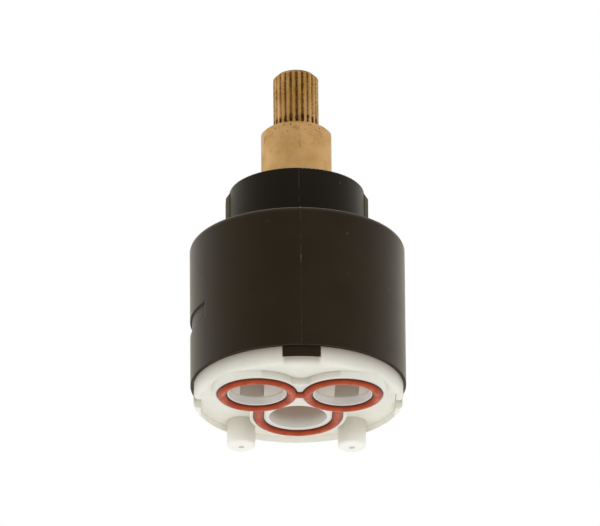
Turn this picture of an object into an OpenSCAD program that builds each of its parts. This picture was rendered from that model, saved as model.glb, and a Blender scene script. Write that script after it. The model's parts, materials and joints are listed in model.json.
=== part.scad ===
// Mixer tap cartridge: a turning spindle drives a ceramic disc over a fixed one.
// The origin is on the spindle's axis, level with the barrel's lower edge.
// The locating key faces -Y, the outlet lies towards +Y and the spindle points up.

/* [Barrel] */
// Outer diameter of the barrel
barrel_d = 35; // [34.8:0.1:35.2]
// Height from the barrel's lower edge to its shoulder
barrel_h = 24.3; // [24:0.05:24.8]
// Thickness of the barrel's wall
wall = 2.25; // [2.1:0.05:2.3]
// Outer diameter of the neck
neck_d = 22; // [21.8:0.1:22.4]
// Height of the neck above the shoulder
neck_h = 9.55; // [9.4:0.05:10.2]
// Width over the two ribs on the neck
rib_span = 23.2; // [22.8:0.1:23.6]
// Width of each rib on the neck
rib_w = 3; // [2:0.1:4]
// Width of the locating key on the barrel's lower edge
key_w = 6; // [5:0.1:7]
// Height of the locating key
key_h = 1.85; // [1.6:0.05:2]
// Angle that the sunk side panel covers
panel_angle = 58; // [40:1:64]
// Height of the sunk side panel
panel_h = 2.9; // [2:0.1:4]
// Height of the panel's lower edge
panel_z = 8.3; // [7:0.1:10]
// Depth of the sunk side panel
panel_depth = 0.35; // [0.2:0.05:0.6]

/* [Base] */
// Outer diameter of the base flange
flange_d = 34.1; // [33.8:0.1:34.4]
// Thickness of the base flange
flange_h = 3.2; // [3:0.05:3.4]
// How far the seal land stands below the flange
land_h = 1.15; // [1:0.05:1.3]
// Width of the land outside the seal
land_margin = 0.6; // [0.5:0.05:0.7]
// Depth of the sunk floor on the outlet side
floor_depth = 1.05; // [0.8:0.05:1.2]
// Width of the rim around the sunk floor
rim_w = 0.6; // [0.5:0.05:0.65]
// Width of the two side notches in the flange
notch_w = 3.6; // [3.2:0.1:4.2]
// Depth of the two side notches
notch_depth = 1.35; // [1.1:0.05:1.5]
// Diameter of the locating pins
pin_d = 4.6; // [4.4:0.1:4.7]
// Distance between the pins' centres
pin_span = 18; // [17.6:0.05:18.1]
// Distance of the pins from the spindle's axis, towards the outlet side
pin_y = 10.1; // [9.9:0.1:10.3]
// How far the pins reach below the flange
pin_reach = 3.45; // [3:0.05:3.6]

/* [Ports and seal] */
// Distance between the centres of the two inlets
inlet_span = 13.85; // [13.7:0.05:14]
// Distance of the inlets from the spindle's axis, towards the key side
inlet_y = -6.9; // [-7:0.1:-6.6]
// Diameter of the inlets' mouths
inlet_d = 9.2; // [9:0.1:9.3]
// Depth of the inlets' mouths
inlet_depth = 1.25; // [1:0.05:1.5]
// Width of the passage behind each inlet
passage_w = 3.9; // [3.6:0.1:4]
// Offset of the passage away from the middle
passage_shift = 0.75; // [0.6:0.05:0.8]
// Distance of the outlet from the spindle's axis
outlet_y = 2.7; // [2.6:0.05:2.9]
// Diameter of the outlet's mouth
outlet_d = 9.4; // [9.2:0.1:9.6]
// Depth of the outlet's wider mouth
outlet_depth = 4.5; // [3:0.1:5]
// Width of the port seal's cord
seal_w = 1.7; // [1.5:0.05:1.75]
// Height of the port seal
seal_h = 1.7; // [1.5:0.05:1.8]
// Depth of the groove that holds the port seal
groove_depth = 1.05; // [0.95:0.05:1.1]
// Radius of the seal's rings, to the middle of the cord
seal_ring_r = 5.7; // [5.65:0.05:5.75]
// Radius of the seal's U around the outlet, to the middle of the cord
seal_u_r = 6.4; // [6.35:0.05:6.45]

/* [Discs] */
// Thickness of each ceramic disc
disc_h = 4; // [3.8:0.1:4.1]
// Diameter of the fixed disc
fixed_disc_d = 28.2; // [28:0.1:28.3]
// Diameter of the moving disc
moving_disc_d = 26.8; // [26.4:0.1:27]
// Width of the edge notches in both discs
disc_notch_w = 3; // [2.6:0.1:3.2]
// Depth of the edge notches in both discs
disc_notch_depth = 1.2; // [1:0.1:1.3]
// Depth of the mixing chamber in the moving disc
chamber_depth = 2.2; // [1.8:0.1:2.4]
// Height of the disc carrier
carrier_h = 4.8; // [4.7:0.1:4.9]
// Diameter of the disc carrier
carrier_d = 29.4; // [29:0.1:29.6]

/* [Spindle] */
// Diameter of the spindle's plain shank
shank_d = 11.5; // [11.3:0.1:11.8]
// Length of the shank that shows above the neck
shank_reach = 10.65; // [9:0.05:12]
// Outer diameter of the spline
spline_d = 7.4; // [7.2:0.02:7.8]
// Length of the spline
spline_h = 10.25; // [8:0.25:12]
// Number of teeth on the spline
spline_teeth = 24; // [20:1:28]
// Width of each groove of the spline, at its mouth
spline_groove_w = 0.46; // [0.36:0.02:0.5]
// Depth of each groove of the spline
spline_groove_depth = 0.34; // [0.26:0.02:0.4]
// Diameter of the tapped hole for the handle's screw
screw_hole_d = 3.3; // [3.2:0.1:3.4]
// Depth of the tapped hole
screw_hole_depth = 12; // [8:0.5:14]
// Diameter of the flange at the spindle's lower end
drive_flange_d = 19.2; // [19:0.1:19.4]

/* [Motion] */
// Full turn of the spindle, from closed to hot, in degrees
turn_range = 130; // [126:1:132]
// Radial clearance of the spindle in its bush
running_clearance = 0.05; // [0.03:0.01:0.08]

/* [Hidden] */
$fn = 96;
eps = 0.01;
slack = 0.03;
film = 0.02;

BLACK = [0.17, 0.15, 0.13];
BRASS = [0.76, 0.60, 0.36];
WHITE = [0.90, 0.89, 0.85];
SEAL_RED = [0.72, 0.28, 0.18];
RUBBER = [0.13, 0.13, 0.14];
CERAMIC = [0.94, 0.93, 0.90];
STEEL = [0.70, 0.71, 0.72];
GREY = [0.62, 0.63, 0.64];

// Barrel and neck
barrel_r = barrel_d / 2;
cavity_r = barrel_r - wall;
neck_r = neck_d / 2;
neck_top = barrel_h + neck_h;
shoulder_round = 1;
neck_round = 0.2;
key_t = 1.3;
key_round = 0.5;
rib_slope_w = 0.8;
rib_slope_h = 1.2;
ring_key_r = 0.8;
snap_groove_r = 0.5;

// Base, downwards from the barrel's lower edge
flange_r = flange_d / 2;
flange_gap = 0.12;
flange_bottom = -flange_h;
flange_round = 0.7;
land_bottom = flange_bottom - land_h;
sunk_floor = flange_bottom + floor_depth;
floor_edge_y = -4.5;
notch_open = 0.05;
pin_r = pin_d / 2;
pin_tip = flange_bottom - pin_reach;
pin_round = 0.55;
gate_mark_r = 0.45;
gate_mark_depth = 0.15;
groove_top = land_bottom + groove_depth;
inlet_x = inlet_span / 2;
inlet_r = inlet_d / 2;
outlet_r = outlet_d / 2;
outlet_step = 0.2;
passage_step = 0.2;
plug_r = cavity_r - 0.1;
plug_top = 3;
snap_bead_r = 0.35;
passage_turn = 1;

// Stack of discs, upwards from the base
inner_seal_w = 1.2;
inner_seal_h = 1.2;
inner_groove_depth = 1;
fixed_disc_z = plug_top + inner_seal_h - inner_groove_depth;
fixed_disc_r = fixed_disc_d / 2;
collar_r = fixed_disc_r + 0.1;
collar_top = fixed_disc_z + disc_h - 0.4;
disc_key_turns = [20, 160, 270];
moving_disc_z = fixed_disc_z + disc_h + film;
moving_disc_r = moving_disc_d / 2;
carrier_z = moving_disc_z + disc_h;
carrier_r = carrier_d / 2;
carrier_top = carrier_z + carrier_h;
carrier_pocket_r = 12.6;
carrier_pocket_half = 52;
carrier_pocket_depth = 2;
carrier_hub_r = 6.4;
carrier_web = 11;
carrier_seal_path_r = 8.55;
carrier_seal_r = 0.6;
disc_port_x = inlet_x + 0.7;
disc_port_y = -6;
disc_port_r = 2.03;
disc_port_stretch = 0.75;
inner_ring_r = disc_port_r + 0.3 + inner_seal_w / 2;
outlet_ring_r = outlet_r + 0.35 + inner_seal_w / 2;
screen_r = 6;
screen_h = 1.4;
screen_ledge = 1;
screen_hole_r = 0.55;
screen_hole_pitch = 2.1;

// Spindle and what holds it
shank_r = shank_d / 2;
bush_bore_r = shank_r + running_clearance;
drive_flange_r = drive_flange_d / 2;
drive_flange_top = carrier_top + 3;
tang_l = 14;
tang_w = 5;
tang_h = 2.6;
washer_h = 0.7;
bush_bottom = drive_flange_top + film + 0.03 + washer_h;
bush_flange_h = 1.2;
bush_seat = bush_bottom + bush_flange_h;
bush_r = 8.15;
bush_flange_r = 10;
bush_top = neck_top - 1.7;
bush_groove_r = bush_r - 1.15;
clip_recess_r = 9;
clip_washer_r = 8;
clip_washer_h = 0.5;
clip_h = 1;
clip_r = 7.3;
clip_gap_half = 8;
clip_eye_turn = 17;
clip_eye_r = 1.3;
clip_eye_hole_r = 0.6;
clip_z = bush_top + clip_washer_h + 0.05;
clip_groove_r = shank_r - 0.4;
spindle_shoulder = neck_top + shank_reach;
spindle_tip = spindle_shoulder + spline_h;
spline_r = spline_d / 2;
shoulder_chamfer = 0.4;
tip_chamfer = 0.7;
countersink = 0.5;
runout_angle = 40;
oring_r = 0.7;
oring_groove_r = shank_r - 1.4;
oring_groove_h = 1.9;
oring_z = [bush_bottom + 4, bush_bottom + 9.4];
bush_oring_z = bush_bottom + 6.7;
bush_oring_r = 0.56;
ceiling_z = barrel_h - 2.4;

// Turning: the chamber's arm uncovers the cold inlet first, then the hot one
port_far = [disc_port_x, disc_port_y - disc_port_stretch];
port_near = [disc_port_x, disc_port_y + disc_port_stretch];
port_low = atan2(port_far.y, port_far.x) - asin(disc_port_r / norm(port_far));
port_high = atan2(port_near.y, port_near.x) + asin(disc_port_r / norm(port_near));
closed_margin = 3;
arm_half = (turn_range - (port_high - port_low) - closed_margin) / 2;
arm_angle = 180 - port_high - closed_margin - arm_half;
arm_r = norm(port_far) + disc_port_r + 0.2;
lug_half = 13;
lug_r = 12.4;
stop_margin = 0.5;
stop_sweep_half = turn_range / 2 + lug_half + stop_margin;
lug_angle = 90 - turn_range / 2;

// A wedge of a circle, centred on +X
module sector(r, half_angle) {
    intersection() {
        circle(r);
        polygon(concat([[0, 0]],
            [for (k = [-2:2]) 2 * r * [cos(k * half_angle / 2), sin(k * half_angle / 2)]]));
    }
}

// A flat ring standing on z = 0
module ring(outer_r, inner_r, h) {
    difference() {
        cylinder(r = outer_r, h = h);
        translate([0, 0, -eps]) cylinder(r = inner_r, h = h + 2 * eps);
    }
}

// Half section of a turned solid whose top outer edge is rounded
module round_top_section(r, z0, z1, round_r) {
    translate([0, z0]) square([r - round_r, z1 - z0]);
    translate([0, z0]) square([r, z1 - z0 - round_r]);
    translate([r - round_r, z1 - round_r]) circle(round_r);
}

// Section of a moulded seal: flat at the top, with a round lip that points down
module lip_section(w, h) {
    translate([-w / 2, w / 2 - h]) square([w, h - w / 2]);
    translate([0, w / 2 - h]) difference() {
        circle(w / 2);
        translate([-w, 0]) square(2 * w);
    }
}

// A moulded seal's stretch along Y, from y0 to y1
module lip_run(x, y0, y1, w, h) {
    translate([x, y1, 0]) rotate([90, 0, 0]) linear_extrude(y1 - y0) lip_section(w, h);
}

// A seal in the shape of a racetrack, with its lip pointing down
module racetrack_seal(stretch, r, w, h) {
    for (turn = [0, 180]) rotate(turn) {
        translate([0, stretch, 0]) rotate_extrude(angle = 180) translate([r, 0]) lip_section(w, h);
        lip_run(r, -stretch, stretch, w, h);
    }
}

// Outline of a racetrack
module racetrack(stretch, r) {
    for (side = [-1, 1]) translate([0, side * stretch]) circle(r);
    translate([-r, -stretch]) square([2 * r, 2 * stretch]);
}

// Both inlets, from the middle of each
module at_inlets(y) {
    for (side = [-1, 1]) translate([side * inlet_x, y]) children();
}

// Outline of both inlets in the discs
module disc_inlets(grow) {
    for (side = [-1, 1]) translate([side * disc_port_x, disc_port_y])
        racetrack(disc_port_stretch, disc_port_r + grow);
}

// Outline of the seal land, which follows the two rings and the U
module land_outline() {
    u_r = seal_u_r + seal_w / 2 + land_margin;
    at_inlets(inlet_y) circle(seal_ring_r + seal_w / 2 + land_margin);
    translate([0, outlet_y]) circle(u_r);
    translate([-u_r, inlet_y]) square([2 * u_r, outlet_y - inlet_y]);
}

// Outline of the port seal's path, w wide
module seal_path(w) {
    at_inlets(inlet_y) difference() {
        circle(seal_ring_r + w / 2);
        circle(seal_ring_r - w / 2);
    }
    bridge = 2 * (inlet_x - seal_ring_r);
    translate([-bridge / 2, inlet_y - w / 2]) square([bridge, w]);
    translate([0, outlet_y]) intersection() {
        difference() {
            circle(seal_u_r + w / 2);
            circle(seal_u_r - w / 2);
        }
        translate([-2 * seal_u_r, 0]) square([4 * seal_u_r, 2 * seal_u_r]);
    }
    for (side = [-1, 1]) translate([side * seal_u_r - w / 2, leg_start()])
        square([w, outlet_y - leg_start() + eps]);
}

// Where the U's legs leave the middle of the rings
function leg_start() =
    inlet_y + sqrt(pow(seal_ring_r, 2) - pow(inlet_x - seal_u_r, 2));

module housing() {
    color(BLACK) difference() {
        union() {
            rotate_extrude() difference() {
                union() {
                    round_top_section(barrel_r, 0, barrel_h, shoulder_round);
                    round_top_section(neck_r, barrel_h - 1, neck_top, neck_round);
                }
                housing_cavity_section();
            }
            neck_ribs();
            locating_key();
            for (k = [0:3]) rotate(45 + 90 * k) translate([cavity_r, 0, carrier_top + 0.4])
                cylinder(r = ring_key_r, h = ceiling_z - carrier_top);
        }
        rotate(180) translate([0, 0, panel_z]) linear_extrude(panel_h) difference() {
            sector(barrel_r + 1, panel_angle / 2);
            circle(barrel_r - panel_depth);
        }
    }
}

// Half section of the room inside the housing
module housing_cavity_section() {
    translate([0, -1]) square([cavity_r, bush_seat + 1]);
    translate([neck_r, 0]) square([cavity_r - neck_r, ceiling_z]);
    square([bush_r + slack, neck_top + 1]);
    translate([0, bush_top]) square([clip_recess_r, 4]);
    translate([plug_r, plug_top / 2]) circle(snap_groove_r);
}

// Two ribs on opposite sides of the neck, which slope into it at the top
module neck_ribs() {
    outer = rib_span / 2;
    top = neck_top - 0.3;
    inner = neck_r - 0.6;
    for (turn = [0, 180]) rotate(turn) rotate([90, 0, 0]) linear_extrude(rib_w, center = true)
        polygon([[inner, barrel_h - 0.5], [outer, barrel_h - 0.5], [outer, top - rib_slope_h],
            [outer - rib_slope_w, top], [inner, top]]);
}

// Key on the barrel's lower edge, flush with the flange's side and rounded at its corners
module locating_key() {
    intersection() {
        translate([0, 0, -key_h - 1]) ring(flange_r, flange_r - key_t, key_h + 2);
        rotate([90, 0, 0]) linear_extrude(barrel_r) {
            translate([-key_w / 2, -key_h + key_round]) square([key_w, key_h]);
            translate([-key_w / 2 + key_round, -key_h]) square([key_w - 2 * key_round, key_h]);
            for (side = [-1, 1]) translate([side * (key_w / 2 - key_round), -key_h + key_round])
                circle(key_round);
        }
    }
}

module neck_bush() {
    groove = oring_groove_h;
    color(WHITE) rotate_extrude() difference() {
        polygon([[bush_bore_r, bush_bottom], [bush_flange_r, bush_bottom],
            [bush_flange_r, bush_seat], [bush_r, bush_seat], [bush_r, bush_top - 0.4],
            [bush_r - 0.4, bush_top], [bush_bore_r, bush_top]]);
        translate([bush_groove_r, bush_oring_z - groove / 2]) square([2, groove]);
    }
}

module bush_oring() {
    color(RUBBER) translate([0, 0, bush_oring_z]) rotate_extrude()
        translate([bush_groove_r + bush_oring_r, 0]) circle(bush_oring_r);
}

module slip_washer() {
    color(WHITE) translate([0, 0, bush_bottom - washer_h])
        ring(drive_flange_r - 0.2, bush_bore_r, washer_h);
}

module clip_washer() {
    color(STEEL) translate([0, 0, bush_top]) ring(clip_washer_r, bush_bore_r, clip_washer_h);
}

// Snap ring with two eyes, which turns with the spindle
module retaining_clip() {
    color(STEEL) translate([0, 0, clip_z]) linear_extrude(clip_h) difference() {
        union() {
            circle(clip_r);
            at_clip_eyes() circle(clip_eye_r);
        }
        circle(clip_groove_r + slack);
        rotate(90) sector(2 * clip_r, clip_gap_half);
        at_clip_eyes() circle(clip_eye_hole_r);
    }
}

// Both eyes of the retaining clip, beside its gap
module at_clip_eyes() {
    for (side = [-1, 1]) rotate(90 + side * clip_eye_turn) translate([clip_r - 0.05, 0]) children();
}

// Ring keyed to the housing, with a sweep that the spindle's lug turns in
module stop_ring() {
    bottom = carrier_top + 0.2;
    step = drive_flange_top + 0.2;
    color(GREY) difference() {
        translate([0, 0, bottom]) linear_extrude(ceiling_z - bottom) stop_ring_outline();
        translate([0, 0, step]) cylinder(r = lug_r + 0.5, h = ceiling_z);
        translate([0, 0, bottom - 1]) linear_extrude(step - bottom + 2)
            rotate(90) sector(lug_r + 0.25, stop_sweep_half);
    }
}

// Outline of the stop ring, with notches for the housing's keys
module stop_ring_outline() {
    difference() {
        circle(cavity_r - 0.1);
        circle(drive_flange_r + 0.3);
        for (k = [0:3]) rotate(45 + 90 * k) translate([cavity_r, 0]) circle(ring_key_r + 0.1);
    }
}

module spindle() {
    color(BRASS) difference() {
        union() {
            rotate_extrude() difference() {
                spindle_section();
                for (z = oring_z) translate([oring_groove_r, z - oring_groove_h / 2])
                    square([2, oring_groove_h]);
                translate([clip_groove_r, clip_z - 0.03]) square([2, clip_h + 0.06]);
            }
            rotate(lug_angle) translate([0, 0, carrier_top])
                linear_extrude(drive_flange_top - carrier_top) difference() {
                    sector(lug_r, lug_half);
                    circle(drive_flange_r - 2);
                }
            drive_tang(0, 0);
        }
        for (k = [0:spline_teeth - 1]) rotate(360 / spline_teeth * k) spline_groove();
        translate([0, 0, spindle_tip - screw_hole_depth])
            cylinder(d = screw_hole_d, h = screw_hole_depth + 1);
        translate([0, 0, spindle_tip - countersink])
            cylinder(d1 = screw_hole_d, d2 = screw_hole_d + 4 * countersink, h = 2 * countersink);
    }
}

// Half section of the spindle: drive flange, shank, shoulder and blank for the spline
module spindle_section() {
    polygon([[0, carrier_top], [drive_flange_r, carrier_top],
        [drive_flange_r, drive_flange_top], [shank_r, drive_flange_top],
        [shank_r, spindle_shoulder - shoulder_chamfer],
        [shank_r - shoulder_chamfer, spindle_shoulder], [spline_r, spindle_shoulder],
        [spline_r, spindle_tip - tip_chamfer], [spline_r - tip_chamfer, spindle_tip],
        [0, spindle_tip]]);
}

// Blade below the spindle's flange that drives the carrier
module drive_tang(grow, extra_depth) {
    intersection() {
        translate([0, 0, carrier_top - tang_h - extra_depth])
            cylinder(d = tang_l + 2 * grow, h = tang_h + extra_depth + eps);
        translate([0, 0, carrier_top - tang_h / 2])
            cube([2 * tang_l, tang_w + 2 * grow, 2 * tang_h], center = true);
    }
}

// One groove of the spline, which runs out above the shoulder as a hob leaves it
module spline_groove() {
    root = spline_r - spline_groove_depth;
    runout = spline_groove_depth / sin(runout_angle) + 0.15;
    start = spindle_shoulder + 0.75;
    step = 0.04;
    translate([root, 0, start - step]) linear_extrude(spline_h) groove_section();
    translate([root + step + runout * sin(runout_angle), 0, start - runout * cos(runout_angle)])
        rotate([0, -runout_angle, 0]) linear_extrude(runout) groove_section();
}

// V of one spline groove, with its root at the origin
module groove_section() {
    reach = 2 * spline_groove_depth;
    polygon([[0, 0], [reach, -spline_groove_w], [reach, spline_groove_w]]);
}

module spindle_oring(z) {
    color(RUBBER) translate([0, 0, z]) rotate_extrude()
        translate([oring_groove_r + oring_r + film, 0]) circle(oring_r);
}

module disc_carrier() {
    color(GREY) difference() {
        union() {
            translate([0, 0, carrier_z]) cylinder(r = carrier_r, h = carrier_h);
            carrier_lugs();
        }
        drive_tang(0.08, 0.1);
        translate([0, 0, carrier_z - eps]) ring(carrier_seal_path_r + carrier_seal_r + 0.25,
            carrier_seal_path_r - carrier_seal_r - 0.25, 2 * carrier_seal_r + slack);
        for (turn = [90, 270]) rotate(turn) translate([0, 0, carrier_top - carrier_pocket_depth])
            linear_extrude(carrier_h) difference() {
                sector(carrier_pocket_r, carrier_pocket_half);
                circle(carrier_hub_r);
                square([carrier_web, 2 * carrier_r], center = true);
            }
    }
}

// Lugs below the carrier that fill the moving disc's notches
module carrier_lugs() {
    inner = moving_disc_r - disc_notch_depth + 0.05;
    for (turn = [0, 90, 180]) rotate(arm_angle + turn - 90)
        translate([0, 0, carrier_z - disc_h * 0.7]) linear_extrude(disc_h) intersection() {
            circle(moving_disc_r);
            translate([inner, -disc_notch_w / 2 + 0.05]) square([inner, disc_notch_w - 0.1]);
        }
}

module carrier_seal() {
    color(RUBBER) translate([0, 0, carrier_z + carrier_seal_r]) rotate_extrude()
        translate([carrier_seal_path_r, 0]) circle(carrier_seal_r);
}

// Perforated plate that quietens the water in the mixing chamber
module noise_screen() {
    color(STEEL) translate([0, 0, carrier_z - screen_h]) difference() {
        cylinder(r = screen_r - 0.05, h = screen_h);
        translate([0, 0, -eps]) cylinder(r = screen_hole_r, h = 2 * screen_h);
        for (row = [1, 2]) for (k = [0:6 * row - 1]) rotate(60 / row * k)
            translate([screen_hole_pitch * row, 0, -eps])
                cylinder(r = screen_hole_r, h = 2 * screen_h);
    }
}

module moving_disc() {
    color(CERAMIC) translate([0, 0, moving_disc_z]) difference() {
        cylinder(r = moving_disc_r, h = disc_h);
        translate([0, 0, -eps]) cylinder(r = screen_r - screen_ledge, h = disc_h);
        translate([0, 0, disc_h - screen_h]) cylinder(r = screen_r, h = disc_h);
        translate([0, 0, -eps]) linear_extrude(chamber_depth) rotate(arm_angle)
            sector(arm_r, arm_half);
        for (turn = [0, 90, 180]) rotate(arm_angle + turn - 90) disc_notch(moving_disc_r);
    }
}

module fixed_disc() {
    color(CERAMIC) translate([0, 0, fixed_disc_z]) difference() {
        cylinder(r = fixed_disc_r, h = disc_h);
        translate([0, 0, -1]) linear_extrude(disc_h + 2) {
            disc_inlets(0);
            translate([0, outlet_y]) circle(outlet_r - outlet_step);
        }
        for (turn = disc_key_turns) rotate(turn) disc_notch(fixed_disc_r);
    }
}

// Notch in a disc's edge, on +X
module disc_notch(disc_r) {
    translate([disc_r - disc_notch_depth, -disc_notch_w / 2, -1]) cube([4, disc_notch_w, disc_h + 2]);
}

// Seal around one inlet, between the base and the fixed disc
module inlet_seal(side) {
    color(SEAL_RED) translate([side * disc_port_x, disc_port_y, fixed_disc_z - inner_seal_h])
        mirror([0, 0, 1]) racetrack_seal(disc_port_stretch, inner_ring_r, inner_seal_w, inner_seal_h);
}

module outlet_seal() {
    color(SEAL_RED) translate([0, outlet_y, fixed_disc_z - inner_seal_h]) mirror([0, 0, 1])
        rotate_extrude() translate([outlet_ring_r, 0]) lip_section(inner_seal_w, inner_seal_h);
}

module base() {
    color(WHITE) difference() {
        union() {
            difference() {
                base_blank();
                sunk_floor_cut();
            }
            translate([0, 0, land_bottom]) linear_extrude(land_h + floor_depth + eps) land_outline();
            locating_pins();
        }
        base_notches();
        port_passages();
        translate([0, 0, land_bottom - 1]) linear_extrude(groove_depth + 1)
            seal_path(seal_w + 2 * slack);
        translate([0, 0, plug_top - inner_groove_depth]) linear_extrude(2) inner_grooves();
    }
}

// Flange, plug with its snap bead, and the keyed collar around the fixed disc
module base_blank() {
    rotate_extrude() mirror([0, 1])
        round_top_section(flange_r, flange_gap, flange_h, flange_round);
    translate([0, 0, -flange_gap - eps]) cylinder(r = plug_r, h = plug_top + flange_gap + eps);
    translate([0, 0, plug_top / 2]) rotate_extrude() translate([plug_r, 0]) circle(snap_bead_r);
    ring_h = collar_top - plug_top;
    translate([0, 0, plug_top - eps]) ring(plug_r, collar_r, ring_h + eps);
    for (turn = disc_key_turns) rotate(turn) translate([0, 0, plug_top - eps])
        linear_extrude(ring_h) intersection() {
            translate([collar_r - disc_notch_depth + 0.1, -disc_notch_w / 2 + 0.1])
                square([2, disc_notch_w - 0.2]);
            circle(plug_r);
        }
}

// Sunk floor of the flange on the outlet side, which opens into the two side notches
module sunk_floor_cut() {
    floor_x = flange_r - notch_depth + notch_open;
    translate([0, 0, flange_bottom - eps]) linear_extrude(floor_depth + eps) intersection() {
        circle(flange_r - rim_w);
        translate([-floor_x, floor_edge_y]) square([2 * floor_x, barrel_d]);
    }
}

// Round pins with rounded tips and a gate mark
module locating_pins() {
    for (side = [-1, 1]) translate([side * pin_span / 2, pin_y, 0]) difference() {
        mirror([0, 0, 1]) rotate_extrude()
            round_top_section(pin_r, -sunk_floor - 0.3, -pin_tip, pin_round);
        translate([0, 0, pin_tip - eps]) cylinder(r = gate_mark_r, h = gate_mark_depth);
    }
}

// Pocket for the barrel's key, and one notch on each side
module base_notches() {
    key_notch = key_w + 0.2;
    translate([0, 0, -key_h - 0.1]) linear_extrude(key_h + 1) difference() {
        translate([-key_notch / 2, -barrel_r]) square([key_notch, barrel_r]);
        circle(flange_r - key_t - 0.1);
    }
    for (side = [-1, 1]) translate([side * flange_r, 0, flange_bottom / 2])
        cube([2 * notch_depth, notch_w, flange_h + 1], center = true);
}

// Inlets with their slotted passages, and the stepped outlet
module port_passages() {
    translate([0, 0, land_bottom - 1]) linear_extrude(inlet_depth + 1) at_inlets(inlet_y)
        circle(inlet_r);
    for (side = [-1, 1]) translate([side * inlet_x, inlet_y, land_bottom])
        linear_extrude(passage_turn - land_bottom) intersection() {
            circle(inlet_r - passage_step);
            translate([side * passage_shift, 0]) square([passage_w, 2 * inlet_r], center = true);
        }
    translate([0, 0, passage_turn - eps]) linear_extrude(plug_top) disc_inlets(0);
    translate([0, outlet_y, land_bottom - 1]) cylinder(r = outlet_r, h = outlet_depth + 1);
    translate([0, outlet_y, land_bottom])
        cylinder(r = outlet_r - outlet_step, h = 2 * (plug_top - land_bottom));
}

// Grooves in the plug's top for the three inner seals
module inner_grooves() {
    half = inner_seal_w / 2 + slack;
    for (side = [-1, 1]) translate([side * disc_port_x, disc_port_y]) difference() {
        racetrack(disc_port_stretch, inner_ring_r + half);
        racetrack(disc_port_stretch, inner_ring_r - half);
    }
    translate([0, outlet_y]) difference() {
        circle(outlet_ring_r + half);
        circle(outlet_ring_r - half);
    }
}

// One-piece seal below the base: a ring around each inlet, a bridge and a U around the outlet
module port_seal() {
    color(SEAL_RED) translate([0, 0, groove_top]) {
        at_inlets(inlet_y) rotate_extrude() translate([seal_ring_r, 0]) lip_section(seal_w, seal_h);
        bridge = 2 * (inlet_x - seal_ring_r);
        translate([-bridge / 2, inlet_y, 0]) rotate([90, 0, 90]) linear_extrude(bridge)
            lip_section(seal_w, seal_h);
        translate([0, outlet_y, 0]) rotate_extrude(angle = 180) translate([seal_u_r, 0])
            lip_section(seal_w, seal_h);
        for (side = [-1, 1]) lip_run(side * seal_u_r, leg_start(), outlet_y, seal_w, seal_h);
    }
}

housing();
neck_bush();
bush_oring();
slip_washer();
stop_ring();
clip_washer();
retaining_clip();
spindle();
spindle_oring(oring_z[1]);  // spindle_oring_upper
spindle_oring(oring_z[0]);  // spindle_oring_lower
disc_carrier();
carrier_seal();
noise_screen();
moving_disc();
fixed_disc();
inlet_seal(-1);  // cold_inlet_seal
inlet_seal(1);  // hot_inlet_seal
outlet_seal();
base();
port_seal();
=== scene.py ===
# %% [markdown]
# # A mixer tap cartridge, dressed in Blender
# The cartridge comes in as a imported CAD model, which is exact and stays as it is. This lesson gives
# it the looks of the real thing: a black glass-filled moulding, a tarnished brass spindle, a white
# acetal base and a soft red seal. Blender's lengths are metres, so MM turns a size in millimetres,
# as it would be on a drawing, into metres.

import json
import math

import bmesh
import bpy
from mathutils import Matrix, Vector


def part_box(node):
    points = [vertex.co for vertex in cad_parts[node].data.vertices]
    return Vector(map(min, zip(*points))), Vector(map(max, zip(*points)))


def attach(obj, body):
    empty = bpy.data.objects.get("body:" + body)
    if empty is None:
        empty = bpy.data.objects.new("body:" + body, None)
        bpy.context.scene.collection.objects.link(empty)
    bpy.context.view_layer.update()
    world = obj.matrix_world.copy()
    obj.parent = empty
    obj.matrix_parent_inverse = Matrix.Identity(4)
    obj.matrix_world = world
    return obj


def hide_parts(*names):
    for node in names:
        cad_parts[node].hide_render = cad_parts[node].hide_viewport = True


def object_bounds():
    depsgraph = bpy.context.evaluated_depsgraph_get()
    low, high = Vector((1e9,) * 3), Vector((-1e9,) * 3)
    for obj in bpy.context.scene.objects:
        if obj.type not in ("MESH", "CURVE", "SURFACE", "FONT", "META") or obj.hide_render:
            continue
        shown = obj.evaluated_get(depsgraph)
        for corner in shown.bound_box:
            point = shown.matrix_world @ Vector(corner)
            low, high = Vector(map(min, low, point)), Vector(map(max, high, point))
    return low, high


MM = 0.001
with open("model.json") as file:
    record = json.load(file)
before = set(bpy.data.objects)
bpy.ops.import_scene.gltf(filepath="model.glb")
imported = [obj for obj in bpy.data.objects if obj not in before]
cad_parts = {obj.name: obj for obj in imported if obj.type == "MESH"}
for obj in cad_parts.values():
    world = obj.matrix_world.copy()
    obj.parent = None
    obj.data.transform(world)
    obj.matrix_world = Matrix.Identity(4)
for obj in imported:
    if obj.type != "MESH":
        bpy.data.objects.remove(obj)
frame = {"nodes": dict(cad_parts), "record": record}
cad_box = [list(corner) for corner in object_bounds()]
nodes = frame["nodes"]
print("CAD nodes:", ", ".join(sorted(nodes)))

# %% [markdown]
# ## Sizes that the looks follow
# Many marks follow a form: tarnish lies in the spline, and shade lies in the ports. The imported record
# gives the place and radius of every interface, and a node's box gives its ends. The few sizes that
# neither of them holds are written here, as on the drawing.

# %% Sizes in millimetres
mounts = {mount["name"]: mount for mount in frame["record"]["mounts"]}


def in_mm(metres):
    """A length in millimetres, rounded to a tenth of a micrometre."""
    return round(metres / MM, 4)


def place_of(name):
    """A mount's place in millimetres."""
    return [in_mm(value) for value in mounts[name]["pos_m"]]


def radius_of(name):
    """A mount's radius in millimetres."""
    return mounts[name]["dims"]["r_mm"]


BARREL_R, NECK_R, SPLINE_R = radius_of("barrel"), radius_of("neck"), radius_of("spline")
INLET_R, OUTLET_R = radius_of("hot_inlet"), radius_of("outlet")
PIN_R, SCREW_HOLE_R = radius_of("locating_pin_right"), radius_of("handle_screw_hole")
PIN_X, PIN_Y, _ = place_of("locating_pin_right")
INLET_X, INLET_Y, _ = place_of("hot_inlet")
OUTLET_Y = place_of("outlet")[1]

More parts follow.
